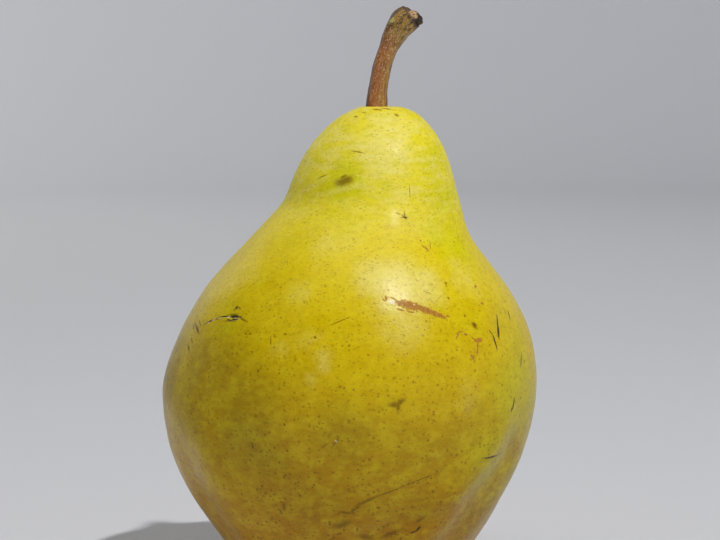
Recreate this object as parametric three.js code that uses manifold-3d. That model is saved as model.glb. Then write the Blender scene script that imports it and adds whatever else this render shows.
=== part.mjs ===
// A ripe yellow-green pear standing on its blossom end: the fruit, its woody stem and the dried calyx underneath.
// Millimetres, +Z up. The origin is on the surface that the pear stands on, under the middle of the fruit.
// An azimuth is in degrees, counted from the front (-Y) towards the right (+X).
import * as THREE from "three";
import { mergeVertices } from "three/addons/utils/BufferGeometryUtils.js";
import Module from "manifold-3d";

const wasm = await Module();
wasm.setup();

const TURN = 2 * Math.PI;
const { degToRad, clamp } = THREE.MathUtils;

// Driving dimensions of the fruit
const BELLY_RADIUS = 35.3;
const BELLY_HEIGHT = 40;
const CROWN_HEIGHT = 92.8;
const FOOT_RADIUS = 10.9; // middle of the ring that touches the surface
const BASIN_DEPTH = 6.4; // hollow at the blossom end, inside that ring
const FOOT_LOBES = 5; // low swellings of the foot, outside the basin
const FOOT_LOBE_RISE = 0.2;
const LEAN_TURN = degToRad(14); // the neck leans to the right and a little to the back

// Driving dimensions of the stem and the calyx
const STEM_RADIUS = 1.73;
const KNOB_RADIUS = 2.64; // swelling below the stem's torn end
const STEM_FOOT_X = 4.9; // where the stem leaves the crown
const STEM_ROOT = 6.5; // length that is sunk in the flesh
const SEPALS = 5;
const SEPAL_LENGTH = 5.4;
const CALYX_RADIUS = 2.8;
const GAP = 0.3; // left between pieces that grow into each other

const FRUIT_SIDES = 72;
const FRUIT_RINGS = 56;
const STEM_SIDES = 20;
const STEM_RINGS = 40;

// The fruit's outline from the basin to the crown, each point as radius, lean of the ring's centre, and height.
const OUTLINE = [
  [0, -0.3, BASIN_DEPTH + 0.2],
  [3.6, -0.3, BASIN_DEPTH], // basin floor, under the calyx
  [6.4, -0.3, 3.6],
  [8.4, -0.3, 0.9],
  [FOOT_RADIUS, -0.3, -0.4], // the foot is flattened where it goes below the surface
  [15.3, -0.2, 1.8],
  [21.4, -0.1, 7.6],
  [27.0, -0.2, 15.2],
  [31.5, -0.6, 23.1],
  [34.3, -0.5, 31.4],
  [BELLY_RADIUS, -0.1, BELLY_HEIGHT],
  [33.5, 0.8, 49.2],
  [29.8, 1.2, 56.8],
  [25.1, 1.4, 63.2],
  [20.3, 2.2, 69.0],
  [16.9, 4.0, 74.6], // waist
  [14.9, 4.5, 80.2],
  [12.4, 5.1, 85.6],
  [8.6, 5.7, 90.1],
  [5.3, 6.0, 92.2],
  [2.6, 5.5, CROWN_HEIGHT],
  [0, STEM_FOOT_X, CROWN_HEIGHT - 0.5], // shallow dimple that the stem stands in
];

// Low ridges (rise above 0) and hollows (rise below 0). Each runs along the skin between two places, given as
// azimuth and height, and fades out over its breadth.
const RIDGES = [
  { from: [-57, 34], to: [-28, 12], breadth: 5.0, rise: 0.7 },
  { from: [64, 26], to: [38, 10], breadth: 4.0, rise: 0.7 },
  { from: [88, 24], to: [62, 8], breadth: 3.2, rise: -0.5 },
  { from: [120, 30], to: [112, 8], breadth: 6.0, rise: 0.7 },
  { from: [178, 34], to: [172, 8], breadth: 7.0, rise: 0.6 },
  { from: [-122, 28], to: [-118, 8], breadth: 6.0, rise: 0.7 },
  { from: [150, 64], to: [138, 52], breadth: 8.0, rise: -0.7 },
  { from: [-150, 78], to: [-140, 70], breadth: 5.0, rise: 0.5 },
];

// How far the skin stands out from the plain round form at an azimuth (in radians), a height and a ring radius.
function swell(azimuth, height, radius) {
  const nearFoot = Math.exp(-((height / 9) ** 2));
  let rise = FOOT_LOBE_RISE * nearFoot * Math.cos(FOOT_LOBES * azimuth);
  for (const ridge of RIDGES) {
    const [startAzimuth, startHeight] = ridge.from;
    const [endAzimuth, endHeight] = ridge.to;
    const away = THREE.MathUtils.euclideanModulo(azimuth - degToRad(startAzimuth) + Math.PI, TURN) - Math.PI;
    const across = away * radius;
    const up = height - startHeight;
    const runAcross = degToRad(endAzimuth - startAzimuth) * radius;
    const runUp = endHeight - startHeight;
    const along = clamp((across * runAcross + up * runUp) / (runAcross ** 2 + runUp ** 2), 0, 1);
    const distance = Math.hypot(across - along * runAcross, up - along * runUp);
    rise += ridge.rise * Math.exp(-0.5 * (distance / ridge.breadth) ** 2);
  }
  const clearOfBasin = clamp((radius - FOOT_RADIUS + 2) / 4, 0, 1);
  return rise * clearOfBasin;
}

// A closed solid from a geometry whose surface is closed once its doubled vertices are merged.
function solid(geometry) {
  const bare = geometry.clone();
  bare.deleteAttribute("normal");
  bare.deleteAttribute("uv");
  const merged = mergeVertices(bare, 1e-4);
  return new wasm.Manifold(
    new wasm.Mesh({
      numProp: 3,
      vertProperties: merged.attributes.position.array,
      triVerts: new Uint32Array(merged.index.array),
    }),
  );
}

function geometryOf(body) {
  const { vertProperties, triVerts } = body.getMesh();
  const geometry = new THREE.BufferGeometry();
  geometry.setAttribute("position", new THREE.BufferAttribute(vertProperties, 3));
  geometry.setIndex(new THREE.BufferAttribute(triVerts, 1));
  geometry.computeVertexNormals();
  return geometry;
}

// A lathed form whose rings are then placed one by one. place(x, y, ring) gets a point of a ring, as its offsets
// from the ring's centre, and returns where it goes.
function placedLathe(radii, sides, place) {
  const profile = radii.map((radius, ring) => new THREE.Vector2(radius, ring));
  const lathe = new THREE.LatheGeometry(profile, sides);
  const position = lathe.attributes.position;
  for (let i = 0; i < position.count; i++) {
    const ring = i % radii.length;
    position.setXYZ(i, ...place(position.getX(i), -position.getZ(i), ring).toArray());
  }
  return lathe;
}

// The fruit: one body of flesh and skin, with the basin at the blossom end and a socket at each end for the
// stem's root and the calyx's cup.
function fruitSolid(stemPath) {
  const line = new THREE.CatmullRomCurve3(
    OUTLINE.map(([radius, lean, height]) => new THREE.Vector3(radius, lean, height)),
    false,
    "catmullrom",
    0.5,
  );
  const rings = line.getPoints(FRUIT_RINGS).map((p, index) => {
    const slope = line.getTangent(index / FRUIT_RINGS);
    const steepness = Math.hypot(slope.x, slope.z);
    const outward = { radial: slope.z / steepness, up: -slope.x / steepness };
    return { radius: Math.max(p.x, 0), lean: p.y, height: p.z, outward };
  });
  const skin = placedLathe(
    rings.map((ring) => ring.radius),
    FRUIT_SIDES,
    (x, y, index) => {
      const { radius, lean, height, outward } = rings[index];
      const rise = radius > 0 ? swell(Math.atan2(x, -y), height, radius) : 0;
      const share = radius > 0 ? 1 + (rise * outward.radial) / radius : 1;
      return new THREE.Vector3(
        x * share + lean * Math.cos(LEAN_TURN),
        y * share + lean * Math.sin(LEAN_TURN),
        Math.max(height + rise * outward.up, 0),
      );
    },
  );
  const calyxSocket = new THREE.CylinderGeometry(CALYX_RADIUS + GAP, CALYX_RADIUS + GAP, 2.6, 32);
  calyxSocket.rotateX(Math.PI / 2);
  calyxSocket.translate(OUTLINE[0][1], 0, BASIN_DEPTH + 0.2);
  return solid(skin).subtract(solid(stemGeometry(stemPath, GAP))).subtract(solid(calyxSocket));
}

// The stem's middle line from its root to the rim of its bark, each point with the stem's radius there.
const STEM_LINE = [
  [STEM_FOOT_X - 0.1, 0.9, CROWN_HEIGHT - STEM_ROOT, 1.5],
  [STEM_FOOT_X - 0.05, 0.9, CROWN_HEIGHT - 3, 1.9],
  [STEM_FOOT_X, 0.9, CROWN_HEIGHT, 2.07],
  [5.2, 0.9, 96.2, 1.8],
  [5.95, 0.9, 100.2, STEM_RADIUS],
  [7.1, 0.9, 103.6, STEM_RADIUS],
  [7.85, 0.85, 105.2, 2.05],
  [8.95, 0.7, 107.3, 2.38],
  [10.05, 0.4, 108.5, KNOB_RADIUS],
  [11.3, -0.1, 109.4, 2.55],
];

// Past that rim the stem was torn from its spur: a collar of wood that droops, with a hollow in the middle. Each
// ring of it has a radius and its reach beyond the rim.
const TORN_END = [
  [1.95, 0.1],
  [1.75, 1.0],
  [1.5, 2.0],
  [1.1, 2.1],
  [0.75, 1.2],
  [0, 0.9],
];
const TORN_END_DROOP = 0.42;

function stemCurve() {
  const points = STEM_LINE.map(([x, y, z]) => new THREE.Vector3(x, y, z));
  return new THREE.CatmullRomCurve3(points, false, "catmullrom", 0.5);
}

// The stem as a closed form, made larger all round by clearance.
function stemGeometry(path, clearance) {
  const radiusLine = new THREE.SplineCurve(STEM_LINE.map((point, i) => new THREE.Vector2(i, point[3])));
  const rings = [{ t: 0, reach: -clearance, radius: 0 }];
  for (let i = 0; i <= STEM_RINGS; i++) {
    const t = i / STEM_RINGS;
    rings.push({ t, reach: 0, radius: radiusLine.getPoint(t).y + clearance });
  }
  for (const [radius, reach] of TORN_END) {
    rings.push({ t: 1, reach, radius: radius > 0 ? radius + clearance : 0 });
  }
  const frames = rings.map(({ t, reach }) => {
    const tangent = path.getTangent(t);
    const side = new THREE.Vector3(0, 1, 0).cross(tangent).normalize();
    const across = new THREE.Vector3().crossVectors(tangent, side);
    const centre = path.getPoint(t).addScaledVector(tangent, reach);
    centre.z -= t === 1 ? TORN_END_DROOP * reach ** 2 : 0;
    return { centre, side, across, tangent };
  });
  return placedLathe(
    rings.map((ring) => ring.radius),
    STEM_SIDES,
    (x, y, index) => {
      const { centre, side, across, tangent } = frames[index];
      const angle = Math.atan2(x, -y);
      const nearEnd = clamp((rings[index].t - 0.8) / 0.2, 0, 1);
      const uneven = 1 + nearEnd * (0.05 * Math.sin(3 * angle + 0.6) + 0.03 * Math.sin(7 * angle));
      const torn = rings[index].radius > 0 ? 0.2 * nearEnd ** 3 * Math.sin(4 * angle + 1.1) : 0;
      return centre
        .clone()
        .addScaledVector(side, x * uneven)
        .addScaledVector(across, y * uneven)
        .addScaledVector(tangent, torn);
    },
  );
}

// One dried sepal: a pointed blade that leaves the cup, follows the basin's wall outwards and curls down at its tip.
function sepalGeometry(turn, length, curl) {
  const thickness = 0.65;
  const width = 3.1;
  const blade = new THREE.BoxGeometry(1, 1, 1, 10, 4, 1);
  const position = blade.attributes.position;
  for (let i = 0; i < position.count; i++) {
    const along = position.getX(i) + 0.5;
    const across = position.getY(i) * width * (1 - 0.93 * along ** 1.4);
    const fold = 0.35 * Math.abs(position.getY(i)) * (1 - along);
    const reach = 1.6 + length * along * (1 - 0.12 * curl * along);
    const drop = 0.25 * along + 2.6 * along ** 2 + curl * 0.9 * along ** 4;
    position.setXYZ(i, reach, across, BASIN_DEPTH - 1.0 - drop + fold + position.getZ(i) * thickness);
  }
  blade.rotateZ(turn);
  return blade;
}

// The calyx: a small woody cup held in the basin floor, five sepals round it and a tuft of dried stamens inside.
function calyxSolid() {
  const cup = new THREE.CylinderGeometry(CALYX_RADIUS, CALYX_RADIUS, 1.9, 30);
  cup.rotateX(Math.PI / 2);
  cup.translate(0, 0, BASIN_DEPTH + 0.05);
  let calyx = solid(cup);
  for (let i = 0; i < SEPALS; i++) {
    const turn = (TURN * (i + 0.12 * Math.sin(2.7 * i))) / SEPALS;
    const length = SEPAL_LENGTH * (1 - 0.1 * Math.cos(1.9 * i));
    calyx = calyx.add(solid(sepalGeometry(turn, length, 0.5 + 0.5 * Math.sin(1.3 * i))));
  }
  const stamens = 9;
  for (let i = 0; i < stamens; i++) {
    const stamen = new THREE.CylinderGeometry(0.22, 0.3, 3.2, 5);
    stamen.rotateX(-Math.PI / 2);
    stamen.translate(0, 0, BASIN_DEPTH - 1.9);
    stamen.rotateY(0.28 * Math.sin(2.1 * i));
    const turn = (TURN * i) / stamens;
    const spread = i % 3 === 0 ? 0.5 : 1.3;
    stamen.translate(spread * Math.cos(turn), spread * Math.sin(turn), 0);
    calyx = calyx.add(solid(stamen));
  }
  return calyx.translate([OUTLINE[0][1], 0, 0]);
}

function piece(name, geometry, colour, roughness) {
  const mesh = new THREE.Mesh(geometry, new THREE.MeshStandardMaterial({ color: colour, roughness, metalness: 0 }));
  mesh.name = name;
  return mesh;
}

const stemPath = stemCurve();
const pear = new THREE.Group();
pear.add(piece("fruit", geometryOf(fruitSolid(stemPath)), 0xc9b81c, 0.35));
pear.add(piece("stem", geometryOf(solid(stemGeometry(stemPath, 0))), 0x7a4e22, 0.55));
pear.add(piece("calyx", geometryOf(calyxSolid()), 0x3a2717, 0.85));

export default pear;
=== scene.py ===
import math

import bmesh
import bpy
import numpy as np
from mathutils import Matrix, Vector, noise
from mathutils.bvhtree import BVHTree


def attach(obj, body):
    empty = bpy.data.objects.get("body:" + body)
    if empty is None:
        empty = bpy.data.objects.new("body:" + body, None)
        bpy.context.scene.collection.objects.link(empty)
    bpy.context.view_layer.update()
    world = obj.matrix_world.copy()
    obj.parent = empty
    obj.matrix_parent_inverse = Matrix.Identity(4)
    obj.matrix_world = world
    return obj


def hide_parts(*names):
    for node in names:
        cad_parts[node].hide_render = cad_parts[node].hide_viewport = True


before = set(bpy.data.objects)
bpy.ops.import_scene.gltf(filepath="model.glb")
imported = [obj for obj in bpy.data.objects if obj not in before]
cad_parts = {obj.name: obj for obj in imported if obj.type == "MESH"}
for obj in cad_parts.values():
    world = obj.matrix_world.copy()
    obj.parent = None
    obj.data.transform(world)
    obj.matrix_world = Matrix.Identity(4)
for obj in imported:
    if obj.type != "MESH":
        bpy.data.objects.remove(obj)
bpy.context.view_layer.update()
scene = bpy.context.scene
scene.view_settings.view_transform = "Standard"

# The camera stands level with the pear's stem, 38 cm away, and looks down on the fruit by six degrees.
# Its picture is taken as 720 x 540 pixels. A mark on the skin is placed by the line of sight through
# its pixel, which meets the skin there.
PICTURE_WIDTH = 720
PICTURE_HEIGHT = 540
LENS_MM = 100
SENSOR_MM = 36
CAMERA_DISTANCE = 0.378
CAMERA_AIM = Vector((0.0018, 0, 0.062))
CAMERA_RISE = math.radians(6)

camera_back = Vector((0, -math.cos(CAMERA_RISE), math.sin(CAMERA_RISE)))
camera = bpy.data.objects.new("camera", bpy.data.cameras.new("camera"))
camera.data.lens = LENS_MM
camera.data.sensor_width = SENSOR_MM
camera.data.clip_start = 0.01
camera.location = CAMERA_AIM + camera_back * CAMERA_DISTANCE
camera.rotation_euler = camera_back.to_track_quat("Z", "Y").to_euler()
scene.collection.objects.link(camera)
scene.camera = camera


def line_of_sight(across, down):
    """The direction from the camera through a point of the picture, in its pixels."""
    right = Vector((1, 0, 0))
    up = camera_back.cross(right)
    away = camera_back * (-LENS_MM / SENSOR_MM * PICTURE_WIDTH)
    return (away + right * (across - PICTURE_WIDTH / 2) + up * (PICTURE_HEIGHT / 2 - down)).normalized()


# The fruit: one body of flesh under a thin skin, widest low down, with a neck that leans to the right.
# It is turned ring by ring from its outline, and each ring is then moved to where it grew, with the low
# ridges, hollows and fine folds of the skin. The blossom end is a basin inside a flattened foot.
MM = 0.001
FOOT_RADIUS = 10.9
BASIN_DEPTH = 6.4
FOOT_LOBES = 5
FOOT_LOBE_RISE = 0.2
FOOT_LOBE_HEIGHT = 9
BASIN_X = -0.3
BASIN_EDGE = 4
STEM_FOOT_X = 4.9
CROWN_HEIGHT = 92.8
LEAN_TURN = math.radians(14)
FRUIT_RINGS = 273
FRUIT_SIDES = 320
POLE_CLEARANCE = 3
SIDE_SIGHT_X = 0.002  # m, the axis that the hidden sides are looked at from all round
SIDE_SIGHT_DISTANCE = 0.1

OUTLINE = [  # radius, lean of the ring's centre, height, all in mm
    (0, BASIN_X, BASIN_DEPTH + 0.2),
    (3.6, BASIN_X, BASIN_DEPTH),
    (6.4, BASIN_X, 3.6),
    (8.4, BASIN_X, 0.9),
    (FOOT_RADIUS, BASIN_X, -0.4),
    (15.3, -0.2, 1.8),
    (21.4, -0.1, 7.6),
    (27.0, -0.2, 15.2),
    (31.5, -0.6, 23.1),
    (34.3, -0.5, 31.4),
    (35.3, -0.1, 40.0),
    (33.5, 0.8, 49.2),
    (29.8, 1.2, 56.8),
    (25.1, 1.4, 63.2),
    (20.3, 2.2, 69.0),
    (16.9, 4.0, 74.6),
    (14.9, 4.5, 80.2),
    (12.4, 5.1, 85.6),
    (8.6, 5.7, 90.1),
    (5.3, 6.0, 92.2),
    (2.6, 5.5, CROWN_HEIGHT),
    (0, STEM_FOOT_X, CROWN_HEIGHT - 0.5),
]
SKIN_FORMS = [  # from and to, as azimuth in degrees and height in mm, then breadth and rise in mm
    ((-16, 65), (46, 64), 6.5, 1.0),
    ((-76, 44), (-46, 33), 3.6, 0.5),
    ((-46, 33), (-38, 12), 3.6, 0.75),
    ((-60, 26), (-54, 12), 3.0, -0.5),
    ((52, 34), (36, 25), 3.0, 0.5),
    ((36, 25), (26, 12), 3.2, 0.75),
    ((24, 28), (14, 14), 4.0, -0.5),
    ((60, 30), (42, 14), 3.4, -0.8),
    ((88, 24), (62, 8), 3.2, -0.4),
    ((120, 30), (112, 8), 6.0, 0.7),
    ((178, 34), (172, 8), 7.0, 0.6),
    ((-122, 28), (-118, 8), 6.0, 0.7),
    ((150, 64), (138, 52), 8.0, -0.7),
    ((-150, 78), (-140, 70), 5.0, 0.5),
]
CREASES = [  # the same, for the fine folds of the skin
    ((2, 16.5), (33, 21), 1.3, -0.22),
    ((33, 21), (62, 28), 1.6, -0.16),
]
SKIN_LUMPS = [(0.16, 9, 3), (0.05, 3.2, 5)]  # rise and size in mm, and the noise's seed


def through(points, count):
    """count + 1 places along the smooth curve through some points."""
    points = np.array(points, float)
    reach = np.vstack([2 * points[0] - points[1], points, 2 * points[-1] - points[-2]])
    place = np.linspace(0, len(points) - 1, count + 1)
    first = np.minimum(place.astype(int), len(points) - 2)
    share = (place - first)[:, None]
    before, start, end, after = (reach[first + step] for step in range(4))
    bend = 2 * before - 5 * start + 4 * end - after + share * (3 * (start - end) + after - before)
    return start + 0.5 * share * (end - before + share * bend)


def spun(profile, sides, weld):
    """A form spun about Z from a line of radii and heights, with its doubles merged."""
    form = bmesh.new()
    line = [form.verts.new((radius, 0, up)) for radius, up in profile]
    edges = [form.edges.new(pair) for pair in zip(line, line[1:])]
    bmesh.ops.spin(
        form,
        geom=line + edges,
        cent=(0, 0, 0),
        axis=(0, 0, 1),
        angle=math.tau,
        steps=sides,
        use_merge=True,
    )
    bmesh.ops.remove_doubles(form, verts=form.verts, dist=weld)
    bmesh.ops.recalc_face_normals(form, faces=form.faces)
    return form


def turned(radii, sides):
    """A closed form turned about Z from a profile, with one ring per unit of height."""
    return spun([(radius, ring) for ring, radius in enumerate(radii)], sides, 1e-4)


def ring_places(form):
    """Each point of a turned form as its ring's number, its azimuth and its offsets from the axis."""
    points = np.array([vert.co for vert in form.verts])
    ring = np.rint(points[:, 2]).astype(int)
    return ring, np.arctan2(points[:, 0], -points[:, 1]), points[:, 0], points[:, 1]


def move_points(form, places):
    """Moves every point of a form to its place, given in mm."""
    for vert, place in zip(form.verts, places * MM):
        vert.co = place


def uneven(places, size, seed):
    """Soft noise from about -1 to 1 at each place, with lumps of about that size."""
    shift = Vector((seed, 2 * seed, 3 * seed))
    return np.array([noise.noise(Vector(place) / size + shift) for place in places])


def form_rise(forms, azimuth, height, radius):
    """How far the skin stands out along ridges, or in along hollows, at each of its points."""
    rise = np.zeros(len(azimuth))
    for (start_turn, start_height), (end_turn, end_height), breadth, most in forms:
        away = (azimuth - math.radians(start_turn) + math.pi) % math.tau - math.pi
        across = away * radius
        up = height - start_height
        run_across = math.radians(end_turn - start_turn) * radius
        run_up = end_height - start_height
        along = np.clip((across * run_across + up * run_up) / (run_across**2 + run_up**2), 0, 1)
        distance = np.hypot(across - along * run_across, up - along * run_up)
        rise += most * np.exp(-0.5 * (distance / breadth) ** 2)
    return rise


fruit_rings = through(OUTLINE, FRUIT_RINGS)
fruit_rings[[0, -1], 0] = 0
fruit_form = turned(fruit_rings[:, 0], FRUIT_SIDES)
ring, azimuth, x, y = ring_places(fruit_form)
radius, lean, height = fruit_rings[ring].T
slope = np.gradient(fruit_rings, axis=0)[ring]
steepness = np.hypot(slope[:, 0], slope[:, 2])
outward_level = slope[:, 2] / steepness
outward_up = -slope[:, 0] / steepness
wide = np.maximum(radius, 0.01)
plain = np.stack([x + lean * math.cos(LEAN_TURN), y + lean * math.sin(LEAN_TURN), height], axis=1)
foot_lobes = FOOT_LOBE_RISE * np.exp(-((height / FOOT_LOBE_HEIGHT) ** 2)) * np.cos(FOOT_LOBES * azimuth)
clear_of_basin = np.clip((radius - FOOT_RADIUS + BASIN_EDGE / 2) / BASIN_EDGE, 0, 1)
rise = (foot_lobes + form_rise(SKIN_FORMS, azimuth, height, wide)) * clear_of_basin
rise += form_rise(CREASES, azimuth, height, wide)
for lump_rise, lump_size, seed in SKIN_LUMPS:
    rise += clear_of_basin * lump_rise * uneven(plain, lump_size, seed)
rise *= np.clip(radius / POLE_CLEARANCE, 0, 1)
share = 1 + rise * outward_level / wide
placed = np.stack(
    [
        x * share + lean * math.cos(LEAN_TURN),
        y * share + lean * math.sin(LEAN_TURN),
        np.maximum(height + rise * outward_up, 0),
    ],
    axis=1,
)
move_points(fruit_form, placed)
skin_surface = BVHTree.FromBMesh(fruit_form)


def seen(across, down):
    """The place on the skin at a pixel of the picture, in mm, and its direction outwards."""
    place, outward, _, _ = skin_surface.ray_cast(camera.location, line_of_sight(across, down))
    return place / MM, outward


def hidden(azimuth, height):
    """The place on the skin at an azimuth in degrees and a height in mm, and its outward direction."""
    turn = math.radians(azimuth)
    away = Vector((math.sin(turn), -math.cos(turn), 0))
    middle = Vector((SIDE_SIGHT_X, 0, height * MM))
    place, outward, _, _ = skin_surface.ray_cast(middle + away * SIDE_SIGHT_DISTANCE, -away)
    return place / MM, outward


# Where the skin is greener, paler or deeper: the middle of a patch, its spread in mm and its strength.
# Some pale patches are painted highlights and sheen, and some deep ones are painted shade.
GREEN_PATCHES = [
    (seen(344, 181), 3.4, 0.8),
    (seen(372, 184), 3.6, 0.3),
    (seen(446, 200), 4.5, 0.6),
    (seen(448, 238), 5.0, 0.6),
    (seen(436, 160), 3.5, 0.45),
    (seen(345, 212), 5.0, 0.3),
    (seen(398, 405), 2.6, 0.35),
    (seen(474, 325), 2.6, 0.4),
    (seen(520, 345), 5.0, 0.5),
    (seen(500, 395), 5.0, 0.35),
    (seen(228, 322), 4.0, 0.4),
    (seen(182, 380), 6.0, 0.25),
    (seen(492, 500), 5.0, 0.4),
    (seen(520, 400), 8.0, 0.8),
    (seen(495, 455), 7.0, 0.7),
    (hidden(88, 40), 8.0, 0.7),
    (hidden(78, 26), 8.0, 0.7),
    (hidden(118, 66), 8.0, 0.6),
    (hidden(150, 82), 6.0, 0.5),
    (hidden(-150, 60), 9.0, 0.5),
    (hidden(-100, 76), 6.0, 0.4),
    (hidden(170, 40), 9.0, 0.35),
    (hidden(-125, 30), 8.0, 0.3),
]
# Pale patches: paler skin in places, and painted highlights and sheen on the neck, the shoulder and
# small spots of the belly.
PALE_AND_HIGHLIGHT_PATCHES = [
    (seen(392, 122), 3.5, 0.6),
    (seen(385, 150), 4.5, 0.8),
    (seen(398, 190), 3.0, 0.4),
    (seen(345, 160), 3.0, 0.4),
    (seen(430, 225), 4.0, 0.5),
    (seen(330, 240), 5.0, 0.45),
    (seen(255, 275), 3.0, 0.3),
    (seen(300, 290), 3.0, 0.4),
    (seen(398, 282), 4.6, 0.8),
    (seen(378, 278), 3.2, 0.9),
    (seen(392, 302), 2.6, 0.7),
    (seen(424, 286), 3.4, 0.8),
    (seen(404, 330), 3.6, 0.5),
    (seen(465, 275), 4.5, 0.5),
    (seen(323, 355), 1.7, 0.5),
    (seen(324, 366), 1.4, 0.45),
    (seen(311, 380), 1.3, 0.4),
    (seen(278, 350), 2.0, 0.35),
    (seen(305, 340), 3.0, 0.35),
    (seen(470, 395), 3.0, 0.4),
    (hidden(95, 50), 6.0, 0.4),
    (hidden(140, 74), 4.0, 0.6),
    (hidden(-160, 78), 6.0, 0.5),
    (hidden(-95, 52), 6.0, 0.35),
    (hidden(-150, 44), 3.0, 0.6),
]
# Deep patches: deeper gold skin in places, and painted shade along the left and lower right edges and
# low on the belly.
DEEP_AND_SHADE_PATCHES = [
    (seen(212, 372), 8.0, 0.9),
    (seen(240, 408), 7.5, 0.9),
    (seen(262, 440), 6.0, 0.6),
    (seen(222, 330), 4.0, 0.4),
    (seen(345, 434), 6.5, 0.65),
    (seen(300, 420), 5.0, 0.4),
    (seen(272, 388), 9.0, 0.45),
    (seen(400, 475), 10.0, 0.45),
    (seen(455, 450), 9.0, 0.55),
    (seen(478, 462), 9.0, 0.6),
    (seen(410, 440), 6.0, 0.5),
    (seen(310, 515), 7.0, 0.4),
    (seen(470, 420), 5.0, 0.5),
    (seen(500, 425), 5.0, 0.5),
    (seen(515, 440), 8.0, 0.7),
    (seen(485, 505), 7.0, 0.8),
    (seen(425, 500), 6.0, 0.5),
    (seen(360, 470), 6.0, 0.4),
    (seen(168, 368), 6.0, 1.0),
    (seen(178, 425), 4.0, 0.4),
    (seen(502, 470), 8.0, 0.8),
    (hidden(-84, 40), 8.0, 0.7),
    (hidden(-108, 45), 9.0, 0.6),
    (hidden(-142, 34), 8.0, 0.6),
    (hidden(138, 38), 8.0, 0.5),
    (hidden(174, 56), 7.0, 0.4),
    (hidden(88, 28), 9.0, 0.7),
]


def spread(patches, places):
    """How strongly a set of patches shows at each place."""
    strength = np.zeros(len(places))
    for (middle, _), size, most in patches:
        away = np.linalg.norm(places - np.array(middle), axis=1)
        strength = np.maximum(strength, most * np.exp(-0.5 * (away / size) ** 2))
    return strength


def piece(name, form, numbers):
    """Makes a form into an object, with a number or a place kept at each point for its material."""
    mesh = bpy.data.meshes.new(name)
    form.to_mesh(mesh)
    form.free()
    mesh.shade_smooth()
    for label, values in numbers.items():
        kind = "FLOAT" if values.ndim == 1 else "FLOAT_VECTOR"
        field = "value" if values.ndim == 1 else "vector"
        layer = mesh.attributes.new(label, kind, "POINT")
        layer.data.foreach_set(field, values.astype(np.float32).ravel())
    made = bpy.data.objects.new(name, mesh)
    scene.collection.objects.link(made)
    return made


class Shade:
    """A value, vector or colour on its way through a material. Sums on a value add Math nodes."""

    def __init__(self, tree, socket=None):
        self.tree = tree
        self.socket = socket

    def node(self, kind, settings, inputs, output=0):
        """Adds a node: first its settings, then the values or links of its sockets. Gives an output."""
        made = self.tree.nodes.new(kind)
        for name, value in settings.items():
            setattr(made, name, value)
        for name, value in inputs.items():
            target = Shade.named(made.inputs, name)
            if isinstance(value, Shade):
                self.tree.links.new(value.socket, target)
            else:
                target.default_value = value
        return Shade(self.tree, Shade.named(made.outputs, output))

    @staticmethod
    def named(sockets, name):
        """A socket by its number, or the one in use that has that name."""
        if isinstance(name, int):
            return sockets[name]
        return next(socket for socket in sockets if socket.name == name and socket.enabled)

    def math(self, operation, first, second):
        return self.node("ShaderNodeMath", {"operation": operation}, {0: first, 1: second})

    def __add__(self, other):
        return self.math("ADD", self, other)

    def __radd__(self, other):
        return self.math("ADD", other, self)

    def __sub__(self, other):
        return self.math("SUBTRACT", self, other)

    def __rsub__(self, other):
        return self.math("SUBTRACT", other, self)

    def __mul__(self, other):
        return self.math("MULTIPLY", self, other)

    def __truediv__(self, other):
        return self.math("DIVIDE", self, other)

    def least(self, other):
        return self.math("MINIMUM", self, other)

    def most(self, other):
        return self.math("MAXIMUM", self, other)


def finish_of(made, name):
    """A new material on a piece: the start of its nodes, its shader, and the piece's places in mm."""
    material = bpy.data.materials.new(name)
    material.use_nodes = True
    made.data.materials.append(material)
    start = Shade(material.node_tree)
    own = start.node("ShaderNodeTexCoord", {}, {}, "Object")
    sockets = {"Vector": own, "Scale": 1 / MM}
    places = start.node("ShaderNodeVectorMath", {"operation": "SCALE"}, sockets)
    return start, material.node_tree.nodes["Principled BSDF"], places


def join_finish(start, shader, colour, rough, relief):
    """Joins a material's colour, its roughness and its relief in mm to its shader."""
    start.tree.links.new(colour.socket, shader.inputs["Base Color"])
    start.tree.links.new(rough.socket, shader.inputs["Roughness"])
    sockets = {"Strength": 1.0, "Distance": MM, "Height": relief}
    bumped = start.node("ShaderNodeBump", {}, sockets, "Normal")
    start.tree.links.new(bumped.socket, shader.inputs["Normal"])


def kept(start, label, output="Fac"):
    """A number or place that the piece keeps at each of its points."""
    return start.node("ShaderNodeAttribute", {"attribute_name": label}, {}, output)


def stretched(places, scale):
    """The places drawn out or pressed together along the three axes."""
    return places.node("ShaderNodeVectorMath", {"operation": "MULTIPLY"}, {0: places, 1: scale})


def cloud(places, size, detail=2.0, output="Fac"):
    """Soft noise from 0 to 1 with patches of about that size in mm."""
    sockets = {"Vector": places, "Scale": 1 / size, "Detail": detail, "Roughness": 0.55}
    return places.node("ShaderNodeTexNoise", {}, sockets, output)


def fade(value, none, full):
    """0 where the value is at none, 1 where it is at full, and a soft step between."""
    sockets = {"Value": value, "From Min": none, "From Max": full}
    return value.node("ShaderNodeMapRange", {"interpolation_type": "SMOOTHSTEP"}, sockets)


def mixed(amount, first, second, blend="MIX"):
    """Two colours mixed by an amount from 0 to 1."""
    sockets = {"Factor": amount}
    for name, colour in (("A", first), ("B", second)):
        sockets[name] = colour if isinstance(colour, Shade) else (*colour, 1)
    return amount.node("ShaderNodeMix", {"data_type": "RGBA", "blend_type": blend}, sockets, "Result")


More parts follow.
